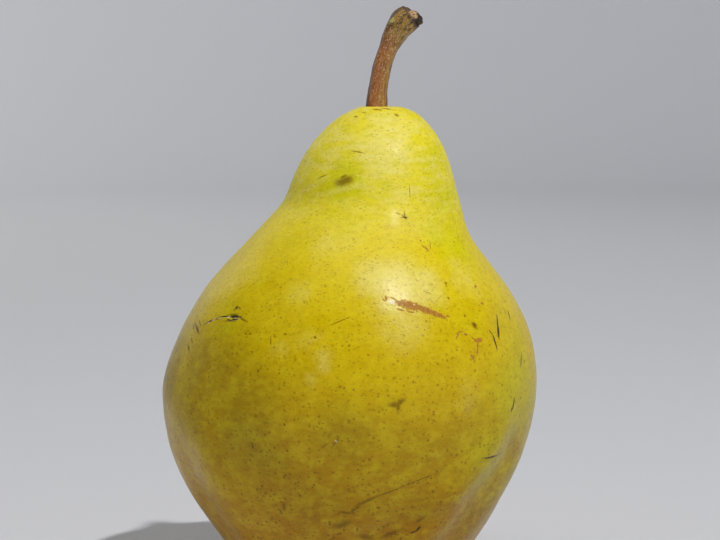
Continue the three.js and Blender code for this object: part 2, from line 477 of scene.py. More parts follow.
def dots(places, spacing, radius, least_size=0.5):
    """Round dots scattered through the skin: 1 in the middle of a dot and 0 between dots."""
    sockets = {"Vector": places, "Scale": 1 / spacing}
    nearest = places.node("ShaderNodeTexVoronoi", {"voronoi_dimensions": "3D"}, sockets, "Distance")
    chance = Shade(places.tree, nearest.socket.node.outputs["Color"])
    size = places.node("ShaderNodeSeparateColor", {}, {0: chance}, 0)
    reach = nearest / ((size * (1 - least_size) + least_size) * (radius / spacing))
    return fade(reach, 1.3, 0.2)


CLEAR_OF_MARK = 1.3  # mm, more than the widest face of the skin
CLEAR_GROWTH = 8


def mark_axes(mark):
    """A mark's middle, its directions along, across and outwards, half its run and its half width."""
    (first, first_outward), (last, last_outward), half_width = mark
    outward = (first_outward + last_outward).normalized()
    run = last - first
    along = run if run.length > 1e-3 else Vector((1, 0, 0))
    along = (along - outward * along.dot(outward)).normalized()
    return (first + last) / 2, along, outward.cross(along), outward, run.length / 2, half_width


def from_mark(mark, places):
    """Offsets of some places from a mark, along and across it, and their distance from it, in mm."""
    middle, along, across, outward, half_run, _ = mark_axes(mark)
    offsets = np.array(places) - np.array(middle)
    lengthwise, sideways, deep = (offsets @ np.array(axis) for axis in (along, across, outward))
    beyond = np.maximum(np.abs(lengthwise) - half_run, 0)
    return lengthwise, sideways, np.sqrt(beyond**2 + sideways**2 + deep**2)


def mark_layers(marks):
    """Sorts marks into layers, so that no two marks of a layer lie close together."""
    layers = []
    for mark in marks:
        (first, _), (last, _), half_width = mark
        line = np.linspace(first, last, 9)
        for layer in layers:
            room = [from_mark(other, line)[2].min() - half_width - other[2] for other in layer]
            if min(room) > 2 * CLEAR_OF_MARK:
                layer.append(mark)
                break
        else:
            layers.append([mark])
    return layers


def mark_places(name, marks, places):
    """For each layer of marks, where the skin's points lie from the nearest mark. Along and across it
    they are shares of its size, so its edge is at 1. A third number grows well clear of the mark."""
    kept_places = {}
    for number, layer in enumerate(mark_layers(marks)):
        nearest = np.full(len(places), np.inf)
        local = np.zeros((len(places), 3))
        for mark in layer:
            lengthwise, sideways, distance = from_mark(mark, places)
            half_width = mark[2]
            half_run = mark_axes(mark)[4]
            lengthwise = lengthwise / (half_run + half_width)
            clear = np.maximum(distance - half_width - CLEAR_OF_MARK, 0) * CLEAR_GROWTH
            found = np.stack([lengthwise, sideways / half_width, clear], axis=1)
            closer = distance < nearest
            local[closer] = found[closer]
            nearest[closer] = distance[closer]
        kept_places[f"{name}_{number}"] = local
    return kept_places


def marks_distance(start, kept_places, wander):
    """Distance from the nearest mark of a kind, as a share of its size, with ragged edges."""
    nearest = None
    for label in kept_places:
        sockets = {0: kept(start, label, "Vector"), 1: wander}
        ragged = start.node("ShaderNodeVectorMath", {"operation": "ADD"}, sockets)
        distance = start.node("ShaderNodeVectorMath", {"operation": "LENGTH"}, {0: ragged}, "Value")
        nearest = distance if nearest is None else nearest.least(distance)
    return nearest


def marked(kept_places, raggedness, none, full):
    """1 on the marks of a kind and 0 away from them. The skin's grain makes the edge ragged."""
    return fade(marks_distance(start, kept_places, wander) + grain * raggedness, none, full)


# Marks that the photograph shows, by the pixels of their two ends, and their half width in mm.
SCAR_PIXELS = [
    ((397, 302.5), (408, 306), 0.5),
    ((403, 303.5), (420, 308.5), 0.78),
    ((416, 306.5), (432, 312.5), 0.62),
    ((428, 311), (442.5, 316.8), 0.5),
    ((438, 314), (443.5, 317.2), 0.42),
    ((446, 316), (448.5, 316.3), 0.2),
    ((386, 296), (386, 300), 0.2),
    ((390, 297), (398, 300.5), 0.14),
    ((383, 299), (385, 301), 0.12),
    ((398, 309), (403, 310.5), 0.16),
    ((408, 311.5), (414, 312.5), 0.14),
    ((476, 340.6), (480.6, 340), 0.42),
    ((477.8, 341), (477.2, 354), 0.2),
    ((471.5, 337), (476, 341), 0.12),
    ((456.6, 338), (458.6, 332.5), 0.16),
    ((458, 332), (462.5, 331.5), 0.11),
    ((465, 334), (467, 334.6), 0.22),
    ((471.5, 356), (473.5, 358.6), 0.3),
    ((422, 245), (424, 248), 0.12),
    ((425, 247), (428, 250.5), 0.2),
    ((419.5, 240), (421, 241), 0.12),
    ((430, 244), (430.6, 248), 0.1),
    ((376, 109.2), (379, 109.6), 0.14),
    ((385, 108.6), (388, 109.2), 0.12),
    ((482, 303.6), (482.6, 303.4), 0.28),
    ((475, 286.6), (476, 286.2), 0.22),
    ((333, 443), (334, 443.6), 0.24),
    ((283.5, 445), (284.5, 445.4), 0.2),
    ((433, 411.7), (434, 411.7), 0.15),
]
SLIT_PIXELS = [
    ((497, 316), (498.5, 336.5), 0.24),
    ((498, 326), (498.6, 337.5), 0.36),
    ((492.6, 334.5), (497, 348.8), 0.22),
    ((489, 330), (491.6, 334), 0.1),
    ((508, 311), (509, 316), 0.16),
    ((509, 314), (510, 319.5), 0.14),
    ((514.4, 398), (512.4, 410), 0.26),
    ((512, 408), (511.4, 411), 0.3),
    ((521.3, 354), (520.6, 368), 0.16),
    ((524.3, 361), (524.7, 362), 0.15),
    ((230, 316.4), (240, 317.2), 0.34),
    ((232, 319.8), (238, 319.4), 0.2),
    ((220, 316.8), (231, 316.2), 0.16),
    ((227, 319.4), (232, 321), 0.14),
    ((207, 322.8), (214, 319.4), 0.16),
    ((236.5, 307.6), (237.2, 308.6), 0.22),
    ((484, 458.6), (496, 455.4), 0.18),
    ((403.2, 216.8), (406.4, 217.9), 0.14),
    ((196.6, 326.5), (198.2, 332), 0.13),
    ((416, 531), (420, 527), 0.22),
    ((411, 533), (415, 531.4), 0.16),
]
SPOT_PIXELS = [
    ((474, 324.2), (475, 325), 0.36),
    ((464.6, 315.5), (464.8, 316), 0.2),
    ((445.5, 282.8), (446, 283.2), 0.24),
    ((448.2, 298), (448.6, 298.2), 0.2),
    ((245.5, 333.6), (246, 334), 0.19),
    ((250, 333.6), (250.4, 334), 0.19),
    ((189, 348), (189, 349.4), 0.2),
    ((188.4, 378.4), (188.8, 379.2), 0.17),
    ((258, 370.6), (258.2, 371.4), 0.22),
    ((252, 351.6), (252.4, 352.2), 0.17),
    ((270.7, 338.4), (270.7, 344.4), 0.12),
    ((284.5, 333.7), (285.5, 334.2), 0.2),
    ((252.5, 444), (252.8, 447.5), 0.22),
    ((287, 450.5), (287.8, 451.2), 0.2),
    ((314.6, 337.2), (315.6, 337.8), 0.18),
]
SCRATCH_PIXELS = [
    ((404.2, 211), (405.2, 218.5), 0.17),
    ((401, 217.8), (407.4, 217.2), 0.22),
    ((402.6, 215.6), (406.4, 218.6), 0.24),
    ((330, 325.4), (350, 317), 0.12),
    ((213.6, 320), (222.5, 316.8), 0.22),
    ((202.6, 325.4), (214, 319.8), 0.17),
    ((239, 317.2), (247, 322), 0.2),
    ((224.5, 321), (235, 321), 0.2),
    ((228, 314.4), (238, 313.8), 0.14),
    ((234, 310), (237.6, 306), 0.2),
    ((238, 306), (240.6, 309), 0.16),
    ((195, 322), (195.8, 328), 0.24),
    ((196.4, 325), (198.6, 333), 0.34),
    ((193, 324), (194, 331), 0.2),
    ((199, 320), (201, 326), 0.18),
    ((187.6, 344), (189.6, 352), 0.26),
    ((191, 338), (192.4, 342), 0.2),
    ((352, 151), (363.5, 152.8), 0.14),
    ((317, 179.2), (327, 174.6), 0.11),
    ((409.3, 184.6), (410.2, 198), 0.09),
    ((331.5, 447.5), (339.5, 437.6), 0.16),
    ((484, 458.2), (501, 453.4), 0.2),
    ((356, 506), (378, 495.5), 0.34),
    ((370, 499), (404, 486), 0.22),
    ((402, 486.6), (437, 473), 0.14),
    ((348, 514.4), (361, 505), 0.3),
    ((340, 512), (352, 513.6), 0.26),
    ((424, 291), (432, 294.5), 0.1),
    ((482, 281), (487, 286), 0.12),
    ((322, 448), (327, 444), 0.16),
]
BRUISE_PIXELS = [
    ((340, 182.5), (345, 181), 0.75),
    ((344, 180.5), (349, 179.6), 0.7),
    ((342, 177.4), (345, 176.2), 0.3),
    ((391.5, 405), (397.8, 404), 0.42),
    ((397.6, 404), (403, 400.6), 0.34),
    ((398, 404), (398.2, 409.6), 0.32),
    ((337, 526.4), (347, 523), 0.62),
    ((417.5, 521.5), (423, 517.5), 0.3),
    ((385, 536), (396, 531.5), 0.42),
    ((362, 536), (368, 537), 0.5),
    ((396.5, 213), (399.5, 214), 0.12),
    ((474, 325), (475, 326.4), 0.42),
    ((396.2, 115), (397, 115.2), 0.28),
    ((355, 116.4), (356.5, 116.8), 0.18),
    ((374, 109.4), (380, 109.8), 0.16),
    ((384, 108.4), (390, 109.4), 0.16),
    ((362, 112.5), (365, 112.8), 0.1),
    ((283.6, 504.6), (284.4, 509), 0.28),
    ((280.6, 511), (281.4, 512.8), 0.22),
]
FLECK_PIXELS = [
    ((212.4, 320.4), (215, 318.6), 0.16),
    ((207.6, 323.4), (209.4, 322.4), 0.12),
    ((227, 317.2), (229.6, 316.9), 0.14),
    ((218, 318.6), (221, 317.8), 0.1),
    ((235, 318.2), (236, 318.2), 0.1),
    ((390.2, 301.4), (393.6, 302.6), 0.42),
    ((413.4, 304.6), (414.4, 304.8), 0.12),
    ((335.4, 440.6), (336.4, 441.6), 0.14),
]
# Marks on the sides that the photograph doesn't show, by azimuth in degrees and height in mm.
HIDDEN_SCARS = [
    ((128, 47), (141, 45), 0.5),
    ((134, 46), (149, 42.5), 0.35),
    ((-131, 62), (-127, 60), 0.35),
    ((-98, 28), (-95.5, 27), 0.4),
    ((176, 20), (183, 22), 0.45),
    ((92, 71), (96, 72), 0.25),
]
HIDDEN_SLITS = [
    ((164, 52), (166, 46), 0.15),
    ((-161, 31), (-152, 33), 0.12),
    ((108, 21), (112, 26), 0.12),
]
HIDDEN_SCRATCHES = [
    ((-143, 46), (-132, 49), 0.12),
    ((155, 77), (172, 75.5), 0.12),
    ((-170, 13), (-146, 16), 0.2),
    ((101, 33), (106, 31), 0.1),
]
HIDDEN_BRUISES = [
    ((-104, 58), (-100, 57), 0.9),
    ((152, 28), (156, 27), 0.6),
    ((-172, 66), (-168, 67), 0.4),
]


def at_pixels(marks):
    """Marks by their pixels as marks by their places on the skin."""
    return [(seen(*start), seen(*end), half_width) for start, end, half_width in marks]


def at_sides(marks):
    """Marks by azimuth and height as marks by their places on the skin."""
    return [(hidden(*start), hidden(*end), half_width) for start, end, half_width in marks]


scars = mark_places("scar", at_pixels(SCAR_PIXELS) + at_sides(HIDDEN_SCARS), placed)
slits = mark_places("slit", at_pixels(SLIT_PIXELS) + at_sides(HIDDEN_SLITS), placed)
spots = mark_places("spot", at_pixels(SPOT_PIXELS), placed)
scratches = mark_places("scratch", at_pixels(SCRATCH_PIXELS) + at_sides(HIDDEN_SCRATCHES), placed)
bruises = mark_places("bruise", at_pixels(BRUISE_PIXELS) + at_sides(HIDDEN_BRUISES), placed)
flecks = mark_places("fleck", at_pixels(FLECK_PIXELS), placed)
patches = {
    "greenness": spread(GREEN_PATCHES, placed),
    "paleness_and_highlight": spread(PALE_AND_HIGHLIGHT_PATCHES, placed),
    "deepness_and_shade": spread(DEEP_AND_SHADE_PATCHES, placed),
}
fruit = piece("pear_fruit", fruit_form, patches | scars | slits | spots | scratches | bruises | flecks)

LEMON = (0.78, 0.615, 0.0)
NECK_YELLOW_AND_LIGHT = (0.88, 0.77, 0.03)
CREAM_AND_SHEEN = (0.88, 0.79, 0.22)
PALE_LEMON = (0.86, 0.75, 0.02)
BELLY_GOLD_AND_SHADE = (0.455, 0.198, 0.0)
DEEP_GOLD_AND_SHADE = (0.31, 0.182, 0.0)
LIME = (0.66, 0.64, 0.0)
LOW_OLIVE_AND_SHADE = (0.37, 0.245, 0.0)
FINE_SHADE = (0.74, 0.68, 0.25)
RUSSET = (0.54, 0.235, 0.02)
DARK_RUSSET = (0.36, 0.13, 0.02)
PORE = (0.15, 0.065, 0.0)
NECK_PORE = (0.26, 0.18, 0.0)
BRUISE = (0.21, 0.11, 0.0)
SLIT = (0.035, 0.018, 0.006)
CORK = (0.88, 0.78, 0.52)
BASIN_RUSSET = (0.34, 0.20, 0.05)

# Heights in mm at which the skin starts and ends a change, and how far a change wanders up and down.
SHOULDER_CHANGE = (68, 50)
BELLY_CHANGE = (56, 10)
NECK_CHANGE = (64, 83)
MATT_CHANGE = (58, 72)
BASIN_CHANGE = (12, 7)
HEIGHT_WANDER = 14

# Sizes of the skin's patterns in mm.
GRAIN_SIZE = 0.35
FINE_BLOTCH_SIZE = 0.8
WAVER_SIZE = 1.0
GREEN_STREAK_SIZE = 2.2
BLOTCH_SIZE = 2.6
PALE_STREAK_SIZE = 3.6
PORE_SPACING = 0.86
PORE_RADIUS = 0.33
SMALL_PORE_SPACING = 0.5
SMALL_PORE_RADIUS = 0.13
DASH_SPACING = 0.60
DASH_RADIUS = 0.17

start, skin, places = finish_of(fruit, "pear skin")
height_of = start.node("ShaderNodeSeparateXYZ", {}, {0: places}, 2)
uneven_height = height_of + (cloud(places, HEIGHT_WANDER) - 0.5) * HEIGHT_WANDER
shoulder = fade(uneven_height, *SHOULDER_CHANGE)
low = shoulder * 0.3 + fade(uneven_height, *BELLY_CHANGE) * 0.7
high = fade(uneven_height, *NECK_CHANGE)
# The skin runs from lighter yellow on the neck to darker gold and olive low down: partly its own
# ripening, partly painted light on the neck and painted shade low on the belly.
ripe = mixed(low, LEMON, BELLY_GOLD_AND_SHADE)
ripe = mixed(high * 0.8, ripe, NECK_YELLOW_AND_LIGHT)
grain = cloud(places, GRAIN_SIZE, 3)
# Deeper gold in patches: partly the skin's own colour, partly painted shade.
deep_and_shade_patches = fade(kept(start, "deepness_and_shade") + cloud(places, 6, 3) * 0.2, 0.15, 1.0)
ripe = mixed(deep_and_shade_patches * 0.65, ripe, DEEP_GOLD_AND_SHADE)
# Cream patches: paler skin in places, and painted highlights and sheen in others.
pale_and_highlight_patches = fade(kept(start, "paleness_and_highlight") + cloud(places, 3.4, 5) * 0.6 + grain * 0.5, 0.70, 1.35)
ripe = mixed(pale_and_highlight_patches * 0.6, ripe, CREAM_AND_SHEEN)
green_patches = fade(kept(start, "greenness") + cloud(places, 5, 5) * 0.6 + high * 0.05, 0.42, 1.0)
ripe = mixed(green_patches * 0.8, ripe, mixed(low, LIME, LOW_OLIVE_AND_SHADE))
neck_streaks = fade(cloud(stretched(places, (1, 1, 3.0)), PALE_STREAK_SIZE, 6), 0.42, 0.62)
ripe = mixed(neck_streaks * (high * 0.40 + 0.10), ripe, mixed(high, PALE_LEMON, CREAM_AND_SHEEN))
green_streaks = fade(cloud(stretched(places, (1, 1, 2.4)), GREEN_STREAK_SIZE, 6), 0.50, 0.68)
ripe = mixed(green_streaks * (high * 0.30 + 0.12), ripe, LIME)
blotches = fade(cloud(places, BLOTCH_SIZE, 5), 0.42, 0.66)
ripe = mixed(blotches * 0.20, ripe, PALE_LEMON)
fine_blotches = fade(cloud(stretched(places, (0.7, 0.7, 1)), FINE_BLOTCH_SIZE, 5), 0.40, 0.70)
ripe = mixed(fine_blotches * 0.34, ripe, FINE_SHADE, "MULTIPLY")

pores = dots(places, PORE_SPACING, PORE_RADIUS, 0.4)
small_pores = dots(stretched(places, (0.7, 0.7, 1)), SMALL_PORE_SPACING, SMALL_PORE_RADIUS)
dashes = dots(stretched(places, (0.6, 0.6, 1.5)), DASH_SPACING, DASH_RADIUS, 0.4)
pore_strength = fade(cloud(places, 2.4, 2), 0.3, 0.7)
pore_colour = mixed(high, PORE, NECK_PORE)
pore_depth = (0.35 + low * 0.6) * (0.35 + pore_strength * 0.65) * (1 - high * 0.8)
ripe = mixed(pores * pore_depth, ripe, pore_colour)
ripe = mixed(small_pores * (0.15 + pore_strength * 0.35), ripe, pore_colour)
ripe = mixed(dashes * (0.15 + high * 0.25 + pore_strength * 0.30), ripe, pore_colour)

waver = cloud(places, WAVER_SIZE, 4, "Color")
wander = start.node("ShaderNodeVectorMath", {"operation": "SUBTRACT"}, {0: waver, 1: (0.5, 0.5, 0.5)})
ripe = mixed(marked(bruises, 0.6, 2.2, 0.5) * 0.85, ripe, BRUISE)
scar_mask = marked(scars, 1.5, 2.05, 1.45)
scar_colour = mixed(fade(cloud(places, 0.4, 4), 0.35, 0.65), RUSSET, DARK_RUSSET)
ripe = mixed(scar_mask * 0.9, ripe, scar_colour)
ripe = mixed(marked(scratches, 1.2, 2.0, 0.9) * 0.8, ripe, BRUISE)
ripe = mixed(marked(spots, 0.4, 1.7, 0.7) * 0.8, ripe, BRUISE)
slit_mask = marked(slits, 0.8, 1.7, 0.9)
ripe = mixed(slit_mask * 0.95, ripe, SLIT)
ripe = mixed(marked(flecks, 0.4, 1.4, 0.7) * 0.8, ripe, CORK)
level = stretched(places, (1, 1, 0))
from_basin = start.node("ShaderNodeVectorMath", {"operation": "LENGTH"}, {0: level}, "Value")
in_basin = fade(from_basin + cloud(places, 2.2, 4) * 5 - 2.5, 9.5, 3.5) * fade(height_of, *BASIN_CHANGE)
ripe = mixed(in_basin * 0.8, ripe, BASIN_RUSSET)

rough = 0.28 + cloud(places, 2.5, 4) * 0.08 + fade(uneven_height, *MATT_CHANGE) * 0.18
rough = rough + scar_mask.most(in_basin) * 0.3
relief = cloud(places, 0.9, 3) * 0.05 + grain * 0.026 - pores * 0.02
relief = relief - slit_mask * 0.10 + scar_mask * grain * 0.05
join_finish(start, skin, ripe, rough, relief)
skin.inputs["Subsurface Weight"].default_value = 0.08
skin.inputs["Subsurface Radius"].default_value = (0.004, 0.0025, 0.0006)
skin.inputs["Subsurface Scale"].default_value = 0.5
skin.inputs["Specular IOR Level"].default_value = 0.19
skin.inputs["Coat Weight"].default_value = 0.06
skin.inputs["Coat Roughness"].default_value = 0.25

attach(fruit, "root")
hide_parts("fruit")


# The stem: a woody stalk that grows out of the crown, bends to the right and swells to a knob where it
# was torn from its spur. Bark of fine lengthwise streaks and pale specks covers it up to the torn rim,
# inside which the broken wood stands round a hollow, darkened partly by its wood and partly by painted
# shade.
STEM_RADIUS = 1.73
KNOB_RADIUS = 2.64
STEM_ROOT = 6.5
TORN_END_DROOP = 0.65
STEM_SIDES = 72
STEM_RINGS = 150
TORN_RINGS = 36
KNOB_START = 0.8  # the share of the stem's rings that lie before the knob
STREAK_DEPTH = 0.045
WART_HEIGHT = 0.03
KNOT_HEIGHT = 0.06
SPLINTER_HEIGHT = 0.35
FIBRE_HEIGHT = 0.2
CLUMP_HEIGHT = 0.15
FRONT_STEP = 0.7  # how far the torn end reaches on past the rim at the front

STEM_LINE = [  # x, y, z and radius of the stem's middle line, in mm
    (STEM_FOOT_X - 0.1, 0.9, CROWN_HEIGHT - STEM_ROOT, 1.5),
    (STEM_FOOT_X - 0.05, 0.9, CROWN_HEIGHT - 3, 1.9),
    (STEM_FOOT_X, 0.9, CROWN_HEIGHT, 2.07),
    (5.2, 0.9, 96.2, 1.8),
    (5.95, 0.9, 100.2, STEM_RADIUS),
    (7.1, 0.9, 103.6, STEM_RADIUS),
    (7.85, 0.85, 105.2, 2.05),
    (8.95, 0.7, 107.3, 2.38),
    (10.05, 0.4, 108.5, KNOB_RADIUS),
    (11.3, -0.1, 109.4, 2.42),
]
TORN_END = [  # radius and reach past the rim of the bark, in mm
    (2.36, 0.04),
    (2.15, 0.14),
    (1.95, 0.45),
    (1.8, 1.0),
    (1.65, 1.6),
    (1.3, 2.05),
    (0.8, 2.15),
    (0, 1.95),
]
CAVITY_PLACE = (13.0, -1.7, 108.5)
CAVITY_RADIUS = 1.15
CAVITY_DEPTH = 0.7
HOLLOW_RADIUS = 1.2

stem_line = through(STEM_LINE, STEM_RINGS)
stem_tangent = np.gradient(stem_line[:, :3], axis=0)
stem_tangent /= np.linalg.norm(stem_tangent, axis=1)[:, None]
stem_steps = np.linalg.norm(np.diff(stem_line[:, :3], axis=0), axis=1)
stem_length = np.concatenate([[0], np.cumsum(stem_steps)])
torn = np.array(TORN_END)
torn_steps = np.linspace(0, len(torn) - 1, TORN_RINGS + 1)[1:]
torn_radius, torn_reach = (np.interp(torn_steps, np.arange(len(torn)), column) for column in torn.T)
last = np.full(TORN_RINGS, STEM_RINGS)
first = np.concatenate([[0], np.arange(STEM_RINGS + 1), last])
reach = np.concatenate([np.zeros(STEM_RINGS + 2), torn_reach])
stem_radii = np.concatenate([[0], stem_line[:, 3], torn_radius])
stem_radii[-1] = 0
centre = stem_line[first, :3] + stem_tangent[first] * reach[:, None]
centre[:, 2] -= TORN_END_DROOP * reach
side = np.cross((0, 1, 0), stem_tangent)
side /= np.linalg.norm(side, axis=1)[:, None]
across = np.cross(stem_tangent, side)

stem_form = turned(stem_radii, STEM_SIDES)
ring, azimuth, x, y = ring_places(stem_form)
near_end = np.clip((first[ring] / STEM_RINGS - KNOB_START) / (1 - KNOB_START), 0, 1)
past_rim = np.clip(reach[ring] * 3, 0, 1)
inside = past_rim * np.clip((HOLLOW_RADIUS - stem_radii[ring]) * 5, 0, 1)
straight = np.stack([x, y, stem_length[first[ring]] + reach[ring]], axis=1)
streaks = uneven(straight * (1, 1, 0.16), 0.75, 11)
warts = uneven(straight, 1.3, 17)
knots = uneven(straight, 2.6, 23)
thicker = 1 + near_end * (0.05 * np.sin(3 * azimuth + 0.6) + 0.03 * np.sin(7 * azimuth))
thicker += (STREAK_DEPTH * streaks + WART_HEIGHT * warts) * (1 - inside)
thicker += near_end * KNOT_HEIGHT * knots
torn_step = FRONT_STEP * np.clip(np.cos(azimuth), 0, 1) - 0.06 * np.sin(3 * azimuth)
torn_step = np.where(stem_radii[ring] > 0, near_end**3 * torn_step * (1 - 0.8 * past_rim), 0)
splinters = np.clip(reach[ring], 0, 1) * np.clip(stem_radii[ring], 0, 1)
broken = near_end**3 * (stem_radii[ring] > 0)
torn_step += broken * SPLINTER_HEIGHT * uneven(straight * (1, 1, 0.2), 0.8, 29)
torn_step += splinters * FIBRE_HEIGHT * uneven(straight * (1, 1, 0.3), 0.55, 31)
torn_step += splinters * CLUMP_HEIGHT * uneven(straight, 1.4, 37)
stem_places = centre[ring] + side[first[ring]] * (x * thicker)[:, None]
stem_places += across[first[ring]] * (y * thicker)[:, None]
stem_places += stem_tangent[first[ring]] * torn_step[:, None]
from_cavity = np.linalg.norm((stem_places - CAVITY_PLACE) * (1, 0.6, 1), axis=1)
sunk = CAVITY_DEPTH * np.exp(-((from_cavity / CAVITY_RADIUS) ** 2)) * past_rim
stem_places += (centre[ring] - stem_places) * (sunk / np.maximum(stem_radii[ring], 1))[:, None]
move_points(stem_form, stem_places)
stem = piece("pear_stem", stem_form, {"straight": straight, "torn": past_rim, "hollow": inside})

COPPER = (0.38, 0.125, 0.018)
OCHRE = (0.38, 0.18, 0.012)
OLIVE_BARK = (0.40, 0.22, 0.02)
DARK_BARK = (0.05, 0.02, 0.006)
PALE_SPECK = (0.80, 0.58, 0.34)
TORN_WOOD = (0.66, 0.42, 0.20)
WEATHERED_WOOD = (0.16, 0.075, 0.03)
HOLLOW_WOOD_AND_SHADE = (0.02, 0.010, 0.005)
BUD_GREEN = (0.72, 0.64, 0.16)
BUD_PLACE = (7.6, -1.2, 108.9)
BUD_REACH = 0.75
BUD_NOTCH_PLACE = (7.5, -1.5, 107.9)
BUD_NOTCH_REACH = 0.65
FACET_PLACE = (12.2, -1.2, 110.0)
FACET_REACH = 1.5
CAVITY_REACH = 1.25
RIM_START = stem_length[-1] - 0.4
RIM_BREADTH = 0.35

# Offsets to the right of the stem's middle, or lengths along it from its root, in mm.
OCHRE_CHANGE = (0.4, 1.8)
LEFT_SHADE_EDGE = (-1.2, -1.5)
RIGHT_SHADE_EDGE = (1.3, 1.6)
SPECK_CHANGE = (14, 19)
KNOB_CHANGE = (19.5, 23)

start, bark, places = finish_of(stem, "stem bark")
along_stem = kept(start, "straight", "Vector")
stem_right = start.node("ShaderNodeSeparateXYZ", {}, {0: along_stem}, 0)
stem_up = start.node("ShaderNodeSeparateXYZ", {}, {0: along_stem}, 2)
fine_streaks = cloud(stretched(along_stem, (1, 1, 0.14)), 0.35, 4)
broad_streaks = cloud(stretched(along_stem, (1, 1, 0.2)), 1.0, 3)
knob = fade(stem_up + broad_streaks * 3, *KNOB_CHANGE)
colour = mixed(fade(stem_right + broad_streaks * 1.6, *OCHRE_CHANGE), COPPER, OCHRE)
colour = mixed(knob, colour, OLIVE_BARK)
colour = mixed(fade(fine_streaks, 0.52, 0.72) * 0.75, colour, DARK_BARK)
colour = mixed(fade(fine_streaks, 0.44, 0.26) * 0.4, colour, PALE_SPECK)
cracks = fade(cloud(stretched(along_stem, (1, 1, 0.22)), 0.6, 5), 0.54, 0.60) * knob
colour = mixed(cracks * 0.85, colour, DARK_BARK)
pale_grain = fade(cloud(stretched(along_stem, (1, 1, 0.5)), 0.22, 3), 0.54, 0.68)
colour = mixed(pale_grain * 0.45, colour, PALE_SPECK)
specks = dots(stretched(along_stem, (1, 1, 0.7)), 0.40, 0.17, 0.3)
colour = mixed(specks * (0.25 + fade(stem_up, *SPECK_CHANGE) * 0.75), colour, PALE_SPECK)

# Painted shade: a dark line down the stem's left side and a fainter one down its right side.
shaded_edge = fade(stem_right + knob * 0.75 + broad_streaks * 0.4, *LEFT_SHADE_EDGE)
colour = mixed(shaded_edge * 0.8, colour, DARK_BARK)
shaded_right_edge = fade(stem_right - knob * 0.75 - broad_streaks * 0.3, *RIGHT_SHADE_EDGE)
colour = mixed(shaded_right_edge * 0.5, colour, DARK_BARK)


def near_place(place, reach):
    """1 at a place of the stem and 0 beyond a reach in mm from it, with an uneven edge."""
    sockets = {0: places, 1: place}
    away = places.node("ShaderNodeVectorMath", {"operation": "DISTANCE"}, sockets, "Value")
    return fade(away + (cloud(places, 0.5, 3) - 0.5) * 0.9, reach, reach * 0.6)


colour = mixed(near_place(BUD_NOTCH_PLACE, BUD_NOTCH_REACH) * 0.9, colour, DARK_BARK)
colour = mixed(near_place(BUD_PLACE, BUD_REACH) * 0.85, colour, BUD_GREEN)
torn_mask = kept(start, "torn")
uneven_up = stem_up + (cloud(places, 0.5, 3) - 0.5) * 1.1
rim = fade(uneven_up, RIM_START, RIM_START + RIM_BREADTH)
colour = mixed(rim * 0.9, colour, DARK_BARK)
colour = mixed(torn_mask, colour, mixed(cloud(places, 0.4, 3), DARK_BARK, WEATHERED_WOOD))
facet = near_place(FACET_PLACE, FACET_REACH) * torn_mask * fade(cloud(places, 0.45, 4), 0.36, 0.52)
colour = mixed(facet * 0.95, colour, TORN_WOOD)
# Painted shade: the cavity in the torn end and the hollow inside it are coloured near black.
shaded_fibres = mixed(fade(fine_streaks, 0.5, 0.62) * 0.7, HOLLOW_WOOD_AND_SHADE, WEATHERED_WOOD)
colour = mixed(near_place(CAVITY_PLACE, CAVITY_REACH) * 0.95, colour, shaded_fibres)
colour = mixed(kept(start, "hollow"), colour, HOLLOW_WOOD_AND_SHADE)
bark_rough = 0.25 + fine_streaks * 0.2 + torn_mask * 0.35
bark_relief = fine_streaks * 0.10 + specks * 0.07 - cracks * 0.08 + cloud(places, 0.3, 3) * 0.06
join_finish(start, bark, colour, bark_rough, bark_relief)
bark.inputs["Specular IOR Level"].default_value = 0.65

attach(stem, "root")
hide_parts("stem")


# The calyx: what is left of the blossom, dried hard in the basin under the fruit. Five sepals spread
# from a small woody cup and curl down at their tips, round a tuft of dead stamens.
SEPALS = 5
SEPAL_LENGTH = 5.4
SEPAL_WIDTH = 3.1
SEPAL_THICKNESS = 0.65
SEPAL_START = 1.6
SEPAL_DROP = 2.6
SEPAL_FOLD = 0.35
SEPAL_RIPPLE = 0.06
TIP_CURL = 0.9
CUP_RADIUS = 2.8
CUP_SIDES = 40
STAMENS = 9
STAMEN_LENGTH = 3.2
STAMEN_RADIUS = 0.2
ANTHER_RADIUS = 0.28
STAMEN_LEAN = 0.28

CUP_PROFILE = [  # radius and height in mm
    (0, 0.95),
    (2.55, 0.95),
    (CUP_RADIUS, 0.75),
    (CUP_RADIUS, -0.6),
    (2.3, -1.0),
    (1.4, -0.75),
    (0, -0.5),
]
cup_form = turned([radius for radius, _ in CUP_PROFILE], CUP_SIDES)
ring, azimuth, x, y = ring_places(cup_form)
cup_up = np.array([up for _, up in CUP_PROFILE])[ring]
move_points(cup_form, np.stack([x + BASIN_X, y, BASIN_DEPTH + 0.05 + cup_up], axis=1))


def join_form(whole, part):
    """Adds a part's faces to a whole form and frees the part."""
    mesh = bpy.data.meshes.new("part")
    part.to_mesh(mesh)
    part.free()
    whole.from_mesh(mesh)
    bpy.data.meshes.remove(mesh)


